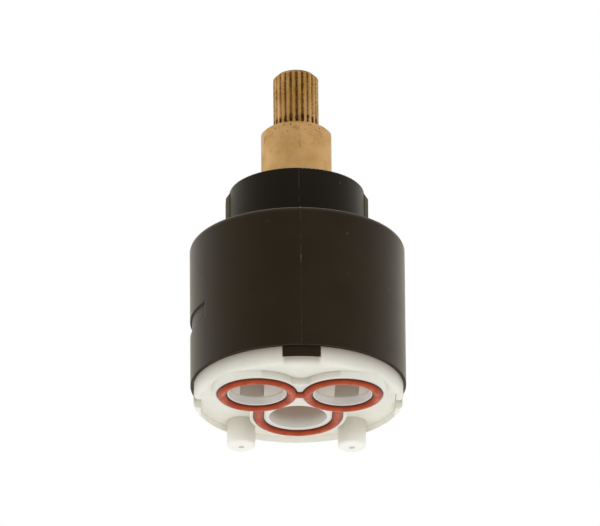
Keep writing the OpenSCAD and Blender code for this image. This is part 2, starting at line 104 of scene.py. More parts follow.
NECK_TOP_Z = in_mm(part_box("housing")[1].z)
SHOULDER_Z = place_of("shoulder")[2]
LAND_Z = place_of("seal_land")[2]
LEDGE_Z = LAND_Z + mounts["hot_inlet"]["dims"]["length_mm"]
LIP_Z = in_mm(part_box("port_seal")[0].z)
PIN_TIP_Z = in_mm(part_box("base")[0].z)
FLANGE_Z, SUNK_FLOOR_Z, GROOVE_TOP_Z = -3.2, -2.15, -3.3

SHOULDER_ROUND, NECK_ROUND = 1.0, 0.2
KEY_HALF = 3.0
RING_R, U_R, SEAL_R = 5.7, 6.4, 0.85
LAND_R = RING_R + SEAL_R + 0.6
SPLINE_TEETH, SPLINE_LENGTH = 24, 10.25
SPLINE_FOOT_Z = in_mm(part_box("spindle")[1].z) - SPLINE_LENGTH
print(f"shoulder at {SHOULDER_Z} mm, spline's foot at {SPLINE_FOOT_Z} mm, land at {LAND_Z} mm")

# %% [markdown]
# ## The camera
# The photograph was taken from far away: the ring of the base looks as open as that of the neck. So
# the camera stands over two metres off with a long lens. It looks up at the cartridge from 23 degrees
# below, and it is rolled by half a degree because the spindle leans a little in the picture. Its
# lens follows from how many pixels one millimetre takes. A short helper, used by every piece, links
# the new object to the scene.

# %% Camera from the photograph's scale and angles
def new_object(name, data):
    """A new object, linked to the scene."""
    item = bpy.data.objects.new(name, data)
    bpy.context.scene.collection.objects.link(item)
    return item


PICTURE_WIDTH = 600
PIXELS_PER_MM = 6.145
SENSOR_WIDTH = 36
CAMERA_DISTANCE = 2200 * MM
CAMERA_AZIMUTH = math.radians(-2.0)
CAMERA_ELEVATION = math.radians(-23.2)
CAMERA_ROLL = math.radians(-0.5)
AIM = Vector((0.45, 0, 21.65)) * MM

camera_data = bpy.data.cameras.new("camera")
camera_data.sensor_fit = "HORIZONTAL"
camera_data.sensor_width = SENSOR_WIDTH
camera_data.lens = SENSOR_WIDTH * PIXELS_PER_MM * (CAMERA_DISTANCE / MM) / PICTURE_WIDTH
camera_data.clip_start = 0.05
camera_data.clip_end = 20
camera = new_object("camera", camera_data)
turn = (Matrix.Rotation(CAMERA_AZIMUTH, 4, "Z") @ Matrix.Rotation(math.pi / 2 - CAMERA_ELEVATION, 4, "X")
        @ Matrix.Rotation(CAMERA_ROLL, 4, "Z"))
camera.matrix_world = Matrix.Translation(AIM) @ turn @ Matrix.Translation((0, 0, CAMERA_DISTANCE))
bpy.context.scene.camera = camera
print(f"lens {camera_data.lens:.0f} mm at {CAMERA_DISTANCE:.1f} m")

# %% [markdown]
# ## Helpers for node trees
# Materials and geometry trees are both made of nodes. A few small helpers keep the steps below
# short: they add a node and fill its inputs, do sums, make masks, and lay a finished tree out in
# columns so that it can be read in Blender's node editor.


# %% Helpers that add nodes and do sums
def add(tree, kind, inputs=None, out=0, **settings):
    """Add one node, fill its inputs by name or number, and give back one of its outputs."""
    item = tree.nodes.new(kind)
    for name, value in settings.items():
        setattr(item, name, value)
    for name, value in (inputs or {}).items():
        if isinstance(value, bpy.types.NodeSocket):
            tree.links.new(value, item.inputs[name])
        else:
            item.inputs[name].default_value = value
    return item.outputs[out]


def join(kind, inputs, **settings):
    """Add a node to the tree that its inputs come from. At least one of them is a socket."""
    sockets = [value for value in inputs.values() if isinstance(value, bpy.types.NodeSocket)]
    return add(sockets[0].id_data, kind, inputs, **settings)


def calc(operation, *values, clamp=False):
    """One Math node on numbers and sockets."""
    return join("ShaderNodeMath", dict(enumerate(values)), operation=operation, use_clamp=clamp)


def minus(first, second):
    """The first number less the second."""
    return calc("SUBTRACT", first, second)


def product(first, *others):
    """Several numbers or masks multiplied together."""
    for value in others:
        first = calc("MULTIPLY", first, value)
    return first


def combine(x, y, z=0.0):
    """A vector from three numbers."""
    return join("ShaderNodeCombineXYZ", {"X": x, "Y": y, "Z": z})


def split(vector):
    """The x, y and z of a vector."""
    return join("ShaderNodeSeparateXYZ", {"Vector": vector}).node.outputs.values()


def vector_calc(operation, *vectors, out="Vector"):
    """One Vector Math node on vectors and sockets."""
    return join("ShaderNodeVectorMath", dict(enumerate(vectors)), out=out, operation=operation)


def length(x, y):
    """The length of a line that goes x one way and y at a right angle to it."""
    return vector_calc("LENGTH", combine(x, y), out="Value")


def fit_range(value, low, high, first, last, **settings):
    """A number that goes from first to last as the value goes from low to high."""
    return join("ShaderNodeMapRange", {
        "Value": value, "From Min": low, "From Max": high, "To Min": first, "To Max": last}, **settings)


def ramp(value, none_at, full_at):
    """A smooth step: 0 where the value is at none_at, 1 where it is at full_at."""
    return fit_range(value, none_at, full_at, 0.0, 1.0, interpolation_type="SMOOTHSTEP")


def blend(mask, first, last):
    """A number that is first where the mask is 0 and last where it is 1."""
    return fit_range(mask, 0.0, 1.0, first, last)


def noise(place, scale, detail=2.0, roughness=0.5, **seed):
    """A soft random field around 0.5 whose scale is in waves per unit of place, and W is its seed."""
    given = {"Vector": place, "Scale": scale, "Detail": detail, "Roughness": roughness, **seed}
    return join("ShaderNodeTexNoise", given, noise_dimensions="4D" if seed else "3D")


def mix_colour(share, first, second):
    """Mix two colours by a share from 0 to 1. Inputs 0, 6 and 7 are its share and its two colours."""
    first, second = (
        colour if isinstance(colour, bpy.types.NodeSocket) else (*colour, 1) for colour in (first, second))
    return join("ShaderNodeMix", {0: share, 6: first, 7: second}, out=2, data_type="RGBA")


print("sums and masks ready")

# %% Helpers that group and lay out nodes
NUMBER, VECTOR = "NodeSocketFloat", "NodeSocketVector"
COLUMN_WIDTH, ROW_HEIGHT = 220, 260


def lay_out(tree):
    """Put every node one column to the right of the nodes that feed it."""
    column = {item.name: 0 for item in tree.nodes}
    for _ in range(len(tree.nodes)):
        for link in tree.links:
            wanted = column[link.from_node.name] + 1
            column[link.to_node.name] = max(column[link.to_node.name], min(wanted, len(tree.nodes)))
    filled = {}
    for item in tree.nodes:
        row = filled.get(column[item.name], 0)
        item.location = (COLUMN_WIDTH * column[item.name], -ROW_HEIGHT * row)
        filled[column[item.name]] = row + 1


def new_group(name, kind, inputs, outputs):
    """A node group with named inputs (with their start values) and named outputs."""
    tree = bpy.data.node_groups.new(name, kind)
    for label, (socket_type, value) in inputs.items():
        socket = tree.interface.new_socket(name=label, in_out="INPUT", socket_type=socket_type)
        if value is not None:
            socket.default_value = value
    for label, socket_type in outputs.items():
        tree.interface.new_socket(name=label, in_out="OUTPUT", socket_type=socket_type)
    return tree, tree.nodes.new("NodeGroupInput").outputs, tree.nodes.new("NodeGroupOutput").inputs


def close_tree(tree, result, **outputs):
    """Link a group's outputs, lay it out and give it back."""
    for label, socket in outputs.items():
        tree.links.new(socket, result[label])
    lay_out(tree)
    print("tree", tree.name, len(tree.nodes), "nodes")
    return tree


print("group helpers ready")

# %% [markdown]
# ## Shader groups that several finishes share
# Moulded plastic is never quite even: the melt leaves cloudy patches, and the steel mould leaves a
# very fine grain. One group makes both from the object's own coordinates. Another scatters small
# specks, which are dust on the plastic and spots of tarnish on the brass. A third finds the edges,
# where handling polishes plastic and brightens brass, and rounds them for the light. The fourth
# finds the corners between two walls, where less light comes in, as a mask for painted shade.


# %% Group: cloudy tone and fine grain
def make_grain_group():
    """Cloudy patches and a fine mould grain in millimetre sizes."""
    tree, given, result = new_group(
        "moulded_grain", "ShaderNodeTree",
        {"Vector": (VECTOR, None), "Patch Size": (NUMBER, 6.0), "Grain Size": (NUMBER, 0.25),
         "Stretch": (NUMBER, 1.0)},
        {"Tone": NUMBER, "Height": NUMBER},
    )
    place = vector_calc("MULTIPLY", given["Vector"], combine(1.0, 1.0, given["Stretch"]))
    patches = noise(place, calc("DIVIDE", 1 / MM, given["Patch Size"]), detail=4.0)
    grain = noise(place, calc("DIVIDE", 1 / MM, given["Grain Size"]))
    return close_tree(tree, result, Tone=patches, Height=grain)


grain_group = make_grain_group()


# %% Group: scattered specks
def make_speck_group():
    """Small round specks, each in its own cell, of which only a share is shown."""
    tree, given, result = new_group(
        "scattered_specks", "ShaderNodeTree",
        {"Vector": (VECTOR, None), "Spacing": (NUMBER, 1.0), "Speck Size": (NUMBER, 0.15),
         "Share": (NUMBER, 0.3)},
        {"Mask": NUMBER},
    )
    middle, wobble = (0.5,) * 3, (0.3 * MM,) * 3
    bent = vector_calc("SUBTRACT", noise(given["Vector"], 2.3 / MM).node.outputs["Color"], middle)
    place = vector_calc("ADD", given["Vector"], vector_calc("MULTIPLY", bent, wobble))
    scale = calc("DIVIDE", 1 / MM, given["Spacing"])
    cells = join("ShaderNodeTexVoronoi", {"Vector": place, "Scale": scale}).node.outputs
    radius = calc("DIVIDE", calc("MULTIPLY", given["Speck Size"], 0.5), given["Spacing"])
    chance = add(tree, "ShaderNodeSeparateColor", {"Color": cells["Color"]})
    chosen = calc("LESS_THAN", chance, given["Share"])
    round_spot = ramp(calc("DIVIDE", cells["Distance"], radius), 1.0, 0.5)
    return close_tree(tree, result, Mask=product(chosen, round_spot))


speck_group = make_speck_group()


# %% Group: soft edges and edge wear
def make_edge_group():
    """Rounds sharp edges for the light and marks where they are worn."""
    tree, given, result = new_group(
        "soft_edges", "ShaderNodeTree",
        {"Vector": (VECTOR, None), "Radius": (NUMBER, 0.15), "Breakup Size": (NUMBER, 1.2)},
        {"Normal": VECTOR, "Wear": NUMBER},
    )
    radius = calc("MULTIPLY", given["Radius"], MM)
    rounded = add(tree, "ShaderNodeBevel", {"Radius": radius}, samples=4)
    true_normal = add(tree, "ShaderNodeNewGeometry", out="Normal")
    agreement = vector_calc("DOT_PRODUCT", rounded, true_normal, out="Value")
    edge = ramp(minus(1.0, agreement), 0.02, 0.25)
    breakup = noise(given["Vector"], calc("DIVIDE", 1 / MM, given["Breakup Size"]))
    wear = product(edge, ramp(breakup, 0.4, 0.65))
    return close_tree(tree, result, Normal=rounded, Wear=wear)


edge_group = make_edge_group()


# %% Group: shade in creases
def make_crease_group():
    """Marks the corners where two walls meet, within a reach in millimetres."""
    tree, given, result = new_group(
        "crease_shade", "ShaderNodeTree",
        {"Vector": (VECTOR, None), "Reach": (NUMBER, 1.2), "Breakup Size": (NUMBER, 1.5)},
        {"Mask": NUMBER},
    )
    reach = calc("MULTIPLY", given["Reach"], MM)
    open_sky = add(tree, "ShaderNodeAmbientOcclusion", {"Distance": reach}, out="AO", samples=8)
    corner = fit_range(open_sky, 0.85, 0.3, 0.0, 1.0)
    breakup = noise(given["Vector"], calc("DIVIDE", 1 / MM, given["Breakup Size"]))
    uneven = fit_range(breakup, 0.3, 0.7, 0.75, 1.0)
    return close_tree(tree, result, Mask=product(corner, uneven))


crease_group = make_crease_group()

# %% [markdown]
# ## The finishes
# Each finish is one material with one Principled shader. Values that are the same all over the
# surface are set on the shader's own sockets. What changes over the surface comes from the groups
# above and goes to the colour, the roughness and the normal. A finish starts with a cloudy tone and
# then paints marks over it, one after another. Each mark has a name, a colour and the masks that
# say where it shows, and its name labels its node. Finished materials are kept by their names.

# %% A helper that builds a material
finishes = {}


class Finish:
    """One material with its shader, its coordinates and short ways to build up its colour."""

    def __init__(self, name, **values):
        self.material = bpy.data.materials.new(name)
        finishes[name] = self.material
        self.material.use_nodes = True
        self.tree = self.material.node_tree
        self.shader = self.tree.nodes["Principled BSDF"]
        self.place = add(self.tree, "ShaderNodeTexCoord", out="Object")
        for label, value in values.items():
            self.shader.inputs[label.replace("_", " ")].default_value = value

    def measure(self):
        """Find x, y, |x|, the height and the distance from the spindle's axis, in millimetres."""
        self.x, self.y, self.height = (calc("DIVIDE", part, MM) for part in split(self.place))
        self.side = calc("ABSOLUTE", self.x)
        self.radius = length(self.x, self.y)

    def from_upright(self, x, y):
        """Distance in millimetres from the two upright axes at (x, y) and (-x, y)."""
        return length(minus(self.side, x), minus(self.y, y))

    def group(self, group, **values):
        """Place a shared group on the object's coordinates with its own values."""
        given = {label.replace("_", " "): value for label, value in values.items()}
        return join("ShaderNodeGroup", {"Vector": self.place, **given}, node_tree=group).node.outputs

    def start_tone(self, clouds, low, high, first, second):
        """Start the colour with two close tones that change over in the clouds."""
        self.tone = mix_colour(ramp(clouds, low, high), first, second)

    def paint(self, mark, colour, *masks):
        """Lay a colour over the tone so far, where the masks show, and label its node."""
        self.tone = mix_colour(product(*masks), self.tone, colour)
        self.tone.node.label = mark

    def feed(self, label, socket):
        self.tree.links.new(socket, self.shader.inputs[label])

    def bump(self, height, depth, strength, normal=None):
        """A Bump node whose relief is as deep in millimetres as its height times the depth."""
        given = {"Height": height, "Distance": depth * MM, "Strength": strength}
        if normal is not None:
            given["Normal"] = normal
        self.feed("Normal", join("ShaderNodeBump", given))

    def done(self):
        self.feed("Base Color", self.tone)
        lay_out(self.tree)
        print("finish", self.material.name, len(self.tree.nodes), "nodes")


print("material helper ready")

# %% [markdown]
# ### Black glass-filled nylon
# The barrel's plastic is a warm, nearly black brown with a satin grain. Its sides look lighter only
# because they mirror the white room at a flat angle, so the colour stays dark and the shader's own
# reflection does the rest. Painted shade makes the neck darker than the barrel, a painted highlight
# makes its two ribs paler, and the shoulder's rounding is matt. Painted shade makes the corner
# between neck and shoulder the darkest, and pale dust sits on the plastic in a few places.


# %% Black moulding
def make_black_moulding():
    finish = Finish("black_moulding", Specular_IOR_Level=0.12, Specular_Tint=(1.0, 0.88, 0.70, 1),
                    Sheen_Weight=0.46, Sheen_Roughness=0.38, Sheen_Tint=(1.0, 0.91, 0.74, 1))
    finish.measure()
    height, radius = finish.height, finish.radius
    grain = finish.group(grain_group, Patch_Size=7.0, Grain_Size=0.22)
    specks = finish.group(speck_group, Spacing=3.2, Speck_Size=0.6, Share=0.6)
    corners = finish.group(crease_group, Reach=0.5, Breakup_Size=2.0)
    edges = finish.group(edge_group, Radius=0.16, Breakup_Size=1.5)

    finish.start_tone(grain["Tone"], 0.35, 0.7, (0.0135, 0.0085, 0.0030), (0.0180, 0.0115, 0.0044))
    # Painted shade: the neck is made darker than the barrel.
    finish.paint("darker neck", (0.001, 0.0007, 0.0004), 0.7,
                 ramp(height, SHOULDER_Z, SHOULDER_Z + 0.4), ramp(radius, NECK_R + 0.3, NECK_R + 0.1))
    # Painted highlight: the ribs that stand out at the neck's sides are made paler.
    finish.paint("paler ribs", (0.185, 0.160, 0.118), 0.9,
                 ramp(height, SHOULDER_Z + 0.05, SHOULDER_Z + 0.35),
                 ramp(finish.side, NECK_R - 0.15, NECK_R + 0.15))
    finish.paint("worn edges", (0.075, 0.066, 0.052), 0.5, edges["Wear"])
    # Painted shade in the corners, strongest beside the shoulder.
    near_shoulder = ramp(height, SHOULDER_Z + 1.7, SHOULDER_Z)
    finish.paint("shaded corners", (0.003, 0.002, 0.001), corners["Mask"], blend(near_shoulder, 0.25, 0.9))
    finish.paint("pale dust", (0.20, 0.17, 0.13), 0.14, specks["Mask"])

    round_start = BARREL_R - SHOULDER_ROUND
    on_round = product(0.9, ramp(radius, round_start - 0.1, round_start + 0.1),
                       ramp(height, SHOULDER_Z - 0.8, SHOULDER_Z - 0.4))
    satin = fit_range(grain["Tone"], 0.3, 0.7, 0.46, 0.58)
    finish.feed("Roughness", calc("MAXIMUM", satin, on_round))
    finish.bump(grain["Height"], depth=0.006, strength=0.6, normal=edges["Normal"])
    finish.done()


make_black_moulding()

# %% [markdown]
# ### Brass
# The spindle is turned from bar, so it carries fine rings around its axis, and its spline is cut
# afterwards. Water and time have left marks of several kinds. The spline has streaky tarnish in its
# grooves, a brown, streaky film, dots beside the grooves and dark pits at their feet, and it is
# browner towards the middle of its front. The shank has blotches, and brown spots gather around its
# shoulder. The thread in the screw hole is relief.


# %% Brass: the spline's marks
def stain_spline(finish, on_spline, turn):
    """Paint the marks on the spline and give back where its grooves are tarnished."""
    height = finish.height
    along_axis = vector_calc("MULTIPLY", finish.place, (1.0, 1.0, 0.22))
    streaks = noise(along_axis, 0.75 / MM, detail=5.0, roughness=0.65)
    in_groove = ramp(finish.radius, SPLINE_R - 0.03, SPLINE_R - 0.25)
    more_in_front = blend(ramp(finish.side, 2.9, 1.5), 0.45, 1.0)
    tarnish = product(on_spline, in_groove, ramp(streaks, 0.36, 0.62), more_in_front,
                      ramp(height, SPLINE_FOOT_Z + 0.9, SPLINE_FOOT_Z + 1.3))
    finish.paint("tarnish in the grooves", (0.16, 0.075, 0.018), 0.72, tarnish)

    # Browner towards the middle of the front, and the rest of this colour lies in streaks.
    off_middle = calc("ABSOLUTE", calc("ADD", finish.x, 0.1))
    front = product(0.42, calc("LESS_THAN", finish.y, 0.0), ramp(off_middle, 2.7, 0.9))
    film = calc("ADD", front, product(0.5, ramp(streaks, 0.42, 0.60)))
    finish.paint("brown film", (0.33, 0.17, 0.035), on_spline, film)

    tooth_width = 2 * math.pi * SPLINE_R / SPLINE_TEETH
    from_groove = product(tooth_width, calc("PINGPONG", product(turn, SPLINE_TEETH), 0.5))
    dots = finish.group(speck_group, Spacing=0.34, Speck_Size=0.38, Share=0.5)
    finish.paint("dots beside the grooves", (0.10, 0.045, 0.010), 0.7, on_spline, dots["Mask"],
                 ramp(from_groove, 0.38, 0.22))

    chance = noise(finish.place, 0.9 / MM)
    uneven_height = minus(height, product(chance, 2.0))
    finish.paint("pits at the grooves' feet", (0.045, 0.018, 0.004), 0.88,
                 ramp(from_groove, 0.36, 0.20), ramp(chance, 0.36, 0.46),
                 ramp(height, SPLINE_FOOT_Z + 0.95, SPLINE_FOOT_Z + 1.15),
                 ramp(uneven_height, SPLINE_FOOT_Z + 1.2, SPLINE_FOOT_Z + 0.7))
    return tarnish


print("marks on the spline ready")


# %% Brass: the shank's marks and the whole finish
def stain_shank(finish, off_spline):
    """Paint blotches on the plain shank and brown spots around its shoulder."""
    height = finish.height
    blotches = noise(finish.place, 0.55 / MM, detail=6.0, roughness=0.75)
    finish.paint("blotches", (0.32, 0.175, 0.066), 0.65, off_spline, ramp(blotches, 0.52, 0.66),
                 ramp(height, SPLINE_FOOT_Z - 8.0, SPLINE_FOOT_Z - 3.0))
    spots = finish.group(speck_group, Spacing=0.6, Speck_Size=0.32, Share=0.42)
    near_shoulder = product(ramp(height, SPLINE_FOOT_Z - 3.5, SPLINE_FOOT_Z),
                            ramp(height, SPLINE_FOOT_Z + 3.5, SPLINE_FOOT_Z + 0.4))
    finish.paint("brown spots", (0.19, 0.095, 0.028), spots["Mask"], calc("ADD", 0.18, near_shoulder))


def carve_brass(finish, grain, off_spline, turn):
    """The relief in millimetres: rings from turning, a fine grain and the screw hole's thread."""
    thread_pitch, thread_depth = 0.7, 0.25
    ring_depth, grain_depth, rings_per_mm = 0.012, 0.008, 9.0
    rings = noise(combine(0.0, 0.0, finish.height), rings_per_mm)
    climb = calc("ADD", calc("DIVIDE", finish.height, thread_pitch), turn)
    in_hole = calc("LESS_THAN", finish.radius, SCREW_HOLE_R + 0.1)
    thread = product(2 * thread_depth, calc("PINGPONG", climb, 0.5), in_hole)
    relief = calc("ADD", product(ring_depth, rings, off_spline), product(grain_depth, grain))
    return calc("ADD", relief, thread)


def make_brass():
    finish = Finish("brass", Metallic=1.0)
    finish.measure()
    grain = finish.group(grain_group, Patch_Size=2.6, Grain_Size=0.12)
    pits = finish.group(speck_group, Spacing=0.5, Speck_Size=0.22, Share=0.22)
    edges = finish.group(edge_group, Radius=0.12, Breakup_Size=0.9)
    turn = calc("DIVIDE", calc("ARCTAN2", finish.y, finish.x), 2 * math.pi)
    on_spline = ramp(finish.height, SPLINE_FOOT_Z + 0.2, SPLINE_FOOT_Z + 0.65)
    off_spline = minus(1.0, on_spline)

    finish.start_tone(grain["Tone"], 0.35, 0.68, (0.585, 0.365, 0.150), (0.555, 0.335, 0.125))
    tarnish = stain_spline(finish, on_spline, turn)
    stain_shank(finish, off_spline)
    finish.paint("bright pits", (0.80, 0.62, 0.36), 0.25, pits["Mask"])
    satin = fit_range(grain["Tone"], 0.3, 0.7, 0.46, 0.6)
    finish.feed("Roughness", calc("ADD", satin, product(0.2, tarnish)))
    relief = carve_brass(finish, grain["Height"], off_spline, turn)
    finish.bump(relief, depth=1.0, strength=0.8, normal=edges["Normal"])
    finish.done()


make_brass()

# %% [markdown]
# ### White acetal
# The base lets some light into itself, which softens every shadow on it, so the shader uses a
# little subsurface scattering with a radius of under a millimetre. Its colour is a warm white.
# Shade is painted where little light comes in: at the barrel's joint, beneath the key, at the
# walls' feet and deep in the ports. Painted light makes the thin rim, the pins' ends and the
# ports' mouths lighter.


# %% White moulding: marks on the flange, the pins and the ports
def shade_flange(finish):
    """Paint shade at the barrel's joint and on the patch beneath the barrel's key."""
    height = finish.height
    finish.paint("joint with the barrel", (0.30, 0.25, 0.19),
                 ramp(finish.radius, BARREL_R - 1.2, BARREL_R - 0.7), ramp(height, FLANGE_Z, 0.6))
    finish.paint("under the key", (0.36, 0.305, 0.24), 0.9,
                 ramp(finish.side, KEY_HALF + 0.3, KEY_HALF - 0.4),
                 ramp(finish.y, 1.5 - BARREL_R, 0.9 - BARREL_R),
                 ramp(height, FLANGE_Z - 0.4, FLANGE_Z + 1.3))


def shade_walls(finish, is_wall, from_pin):
    """Paint shade at the low walls' feet, and paint light on the thin rim and the pins' ends."""
    height, radius = finish.height, finish.radius
    on_pin = calc("LESS_THAN", from_pin, PIN_R + 0.3)
    finish.paint("foot of the walls", (0.42, 0.365, 0.30), is_wall, blend(on_pin, 0.6, 0.3),
                 ramp(radius, BARREL_R - 1.9, BARREL_R - 2.3), ramp(height, LAND_Z - 0.85, LAND_Z + 1.75))
    thin_rim = product(ramp(radius, BARREL_R - 1.6, BARREL_R - 1.2), ramp(finish.y, -2.0, 6.0),
                       ramp(height, SUNK_FLOOR_Z + 0.25, SUNK_FLOOR_Z - 0.25))
    pin_end = product(on_pin, ramp(height, LAND_Z - 0.25, PIN_TIP_Z + 0.25))
    finish.paint("light through thin walls", (0.97, 0.945, 0.885), 0.85, calc("MAXIMUM", thin_rim, pin_end))


def shade_ports(finish, is_wall):
    """Paint shade that grows with the ports' depth, paint light in their mouths and paint shade on the
    inlets' ledges.
    """
    height = finish.height
    in_inlet = ramp(finish.from_upright(INLET_X, INLET_Y), INLET_R + 0.06, INLET_R + 0.03)
    in_outlet = ramp(finish.from_upright(0.0, OUTLET_Y), OUTLET_R + 0.06, OUTLET_R + 0.03)
    finish.paint("deep inlets", (0.68, 0.55, 0.45), in_inlet, ramp(height, LEDGE_Z + 0.1, LEDGE_Z + 2.5))
    finish.paint("deep outlet", (0.63, 0.50, 0.405), in_outlet, ramp(height, LAND_Z, LAND_Z + 3.15))
    inlet_mouth = product(in_inlet, ramp(height, LEDGE_Z + 0.08, LEDGE_Z - 0.2))
    outlet_mouth = product(in_outlet, ramp(height, LAND_Z + 2.45, LAND_Z + 0.15))
    finish.paint("mouths of the ports", (0.98, 0.945, 0.89), 0.85,
                 calc("MAXIMUM", inlet_mouth, outlet_mouth))
    # Painted shade lies on the ledges, darker towards the inlets' front.
    ledge_shade_tone = mix_colour(ramp(finish.y, INLET_Y - 0.9, INLET_Y + 3.7),
                            (0.41, 0.36, 0.31), (0.58, 0.515, 0.45))
    finish.paint("ledges in the inlets", ledge_shade_tone, 0.92, in_inlet,
                 ramp(height, LEDGE_Z - 0.1, LEDGE_Z - 0.02), minus(1.0, is_wall))


print("marks on the base ready")


# %% White moulding
def make_white_moulding():
    finish = Finish("white_moulding", Roughness=0.42, Subsurface_Weight=0.35,
                    Subsurface_Radius=(1.0, 0.85, 0.6), Subsurface_Scale=0.9 * MM)
    finish.measure()
    grain = finish.group(grain_group, Patch_Size=4.0, Grain_Size=0.18)
    specks = finish.group(speck_group, Spacing=2.6, Speck_Size=0.16, Share=0.12)
    edges = finish.group(edge_group, Radius=0.14, Breakup_Size=1.0)
    corners = finish.group(crease_group, Reach=0.9, Breakup_Size=2.0)
    facing = split(add(finish.tree, "ShaderNodeNewGeometry", out="Normal"))[2]
    is_wall = ramp(calc("ABSOLUTE", facing), 0.7, 0.3)
    from_pin = finish.from_upright(PIN_X, PIN_Y)

    finish.start_tone(grain["Tone"], 0.3, 0.7, (0.80, 0.785, 0.69), (0.84, 0.83, 0.745))
    finish.paint("shaded corners", (0.55, 0.47, 0.37), 0.22, corners["Mask"])
    shade_flange(finish)
    shade_walls(finish, is_wall, from_pin)
    shade_ports(finish, is_wall)
    # Painted shade of a small dimple in the middle of each pin's end.
    finish.paint("gate marks", (0.25, 0.19, 0.12), 0.5, ramp(from_pin, 0.55, 0.3),
                 calc("LESS_THAN", finish.height, PIN_TIP_Z + 0.35))
    finish.paint("specks of dust", (0.42, 0.36, 0.26), 0.3, specks["Mask"])
    finish.bump(grain["Height"], depth=0.005, strength=0.5, normal=edges["Normal"])
    finish.done()


make_white_moulding()

# %% [markdown]
# ### Red silicone and the other rubbers
# Silicone has a soft gloss and picks up fine pale dust. The seal's lip stands proud of its groove:
# it has painted shade down in its groove and a painted highlight on its crest. The O-rings inside
# are black nitrile rubber with a film of grease, so they use the same function with a smoother surface.


# %% Rubbers
def make_rubber(name, tones, roughness, depth, dust_share, dust_colour, lip_shade_and_highlight=None):
    """A cloudy, dusty rubber. The two lip colours, where given, are the painted shade at its root and the
    painted highlight on its crest.
    """
    finish = Finish(name, Roughness=roughness, Specular_IOR_Level=0.16)
    grain = finish.group(grain_group, Patch_Size=2.2, Grain_Size=0.1)
    specks = finish.group(speck_group, Spacing=0.55, Speck_Size=0.1, Share=dust_share)
    finish.start_tone(grain["Tone"], 0.35, 0.65, *tones)
    if lip_shade_and_highlight:
        finish.measure()
        height = finish.height
        # The same silicone is in the inner seals, which lie above the origin and have no lip
        on_port_seal = calc("LESS_THAN", height, 0.0)
        above_crest = minus(1.0, ramp(height, LAND_Z - 0.05, LIP_Z + 0.1))
        # Painted shade on the lip's root, down in the groove, and a painted highlight on its crest.
        finish.paint("root in the groove", lip_shade_and_highlight[0], on_port_seal, above_crest)
        finish.paint("bloom on the crest", lip_shade_and_highlight[1], 0.6,
                     ramp(height, LIP_Z + 0.07, LIP_Z + 0.01), ramp(grain["Tone"], 0.36, 0.66))
    finish.paint("dust", dust_colour, 0.45, specks["Mask"])
    finish.bump(grain["Height"], depth, strength=0.7)
    finish.done()


make_rubber("red_silicone", [(0.37, 0.046, 0.010), (0.45, 0.066, 0.016)], roughness=0.34, depth=0.006,
            dust_share=0.10, dust_colour=(0.75, 0.38, 0.27),
            lip_shade_and_highlight=[(0.12, 0.014, 0.003), (0.56, 0.17, 0.105)])
make_rubber("black_rubber", [(0.012, 0.012, 0.012), (0.02, 0.02, 0.019)], roughness=0.22, depth=0.003,
            dust_share=0.06, dust_colour=(0.12, 0.12, 0.11))

# %% [markdown]
# ### Ceramic, steel and the inner plastics
# The discs are lapped alumina, cream white and very smooth. The clip, its washer and the damper
# screen are stamped stainless steel with faint rolling lines. The bush and slip washer are natural
# acetal, and the stop ring and the carrier are grey nylon.


# %% Inner finishes
def make_plain(name, tones, roughness, patch, depth, stretch=1.0, **values):
    """A finish with two tones, worn edges, a few specks and a range of roughness."""
    finish = Finish(name, **values)
    grain = finish.group(grain_group, Patch_Size=patch, Grain_Size=0.16, Stretch=stretch)
    specks = finish.group(speck_group, Spacing=1.8, Speck_Size=0.14, Share=0.08)
    edges = finish.group(edge_group, Radius=0.08, Breakup_Size=0.8)
    finish.start_tone(grain["Tone"], 0.3, 0.7, *tones)
    finish.paint("worn edges", [min(1.0, 1.35 * part) for part in tones[1]], 0.3, edges["Wear"])
    finish.paint("specks", [0.45 * part for part in tones[0]], 0.3, specks["Mask"])
    finish.feed("Roughness", fit_range(grain["Tone"], 0.3, 0.7, *roughness))
    finish.bump(grain["Height"], depth, strength=0.6, normal=edges["Normal"])
    finish.done()


make_plain("ceramic", [(0.80, 0.77, 0.70), (0.86, 0.84, 0.79)], roughness=(0.12, 0.2), patch=3.0,
           depth=0.001)
make_plain("spring_steel", [(0.50, 0.50, 0.50), (0.60, 0.60, 0.59)], roughness=(0.25, 0.4), patch=1.5,
           depth=0.004, stretch=0.2, Metallic=1.0)
make_plain("slip_plastic", [(0.76, 0.75, 0.70), (0.82, 0.81, 0.77)], roughness=(0.35, 0.45), patch=4.0,
           depth=0.003)
make_plain("grey_moulding", [(0.20, 0.21, 0.22), (0.26, 0.27, 0.28)], roughness=(0.4, 0.5), patch=4.0,
           depth=0.005)

# %% [markdown]
# ## Giving the CAD nodes their finish
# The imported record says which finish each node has. A CAD node keeps its mesh, and only the material
# in its slots is exchanged.

# %% Assign the finishes by the record's slots
for subpart in frame["record"]["subparts"]:
    node = nodes[subpart["node"]]
    if not node.material_slots:
        node.data.materials.append(None)
    for slot in node.material_slots:
        slot.material = finishes[subpart["material_slot"]]

# %% [markdown]
# ## The port seal
# The seal is moulded in one piece: a ring around each inlet, a short bridge and a U around the
# outlet. Where its parts meet, the silicone runs together in soft fillets. A distance field does
# just that. For every point it asks how far the nearest centre line is, blends those distances
# smoothly, and a volume turns the result into one closed skin.


# %% Helpers for geometry trees
def new_geometry_tree(name, inputs):
    """A geometry node group that takes a mesh, named sizes and a material, and gives back a mesh."""
    given = {"Geometry": ("NodeSocketGeometry", None), **inputs, "Material": ("NodeSocketMaterial", None)}
    return new_group(name, "GeometryNodeTree", given, {"Geometry": "NodeSocketGeometry"})


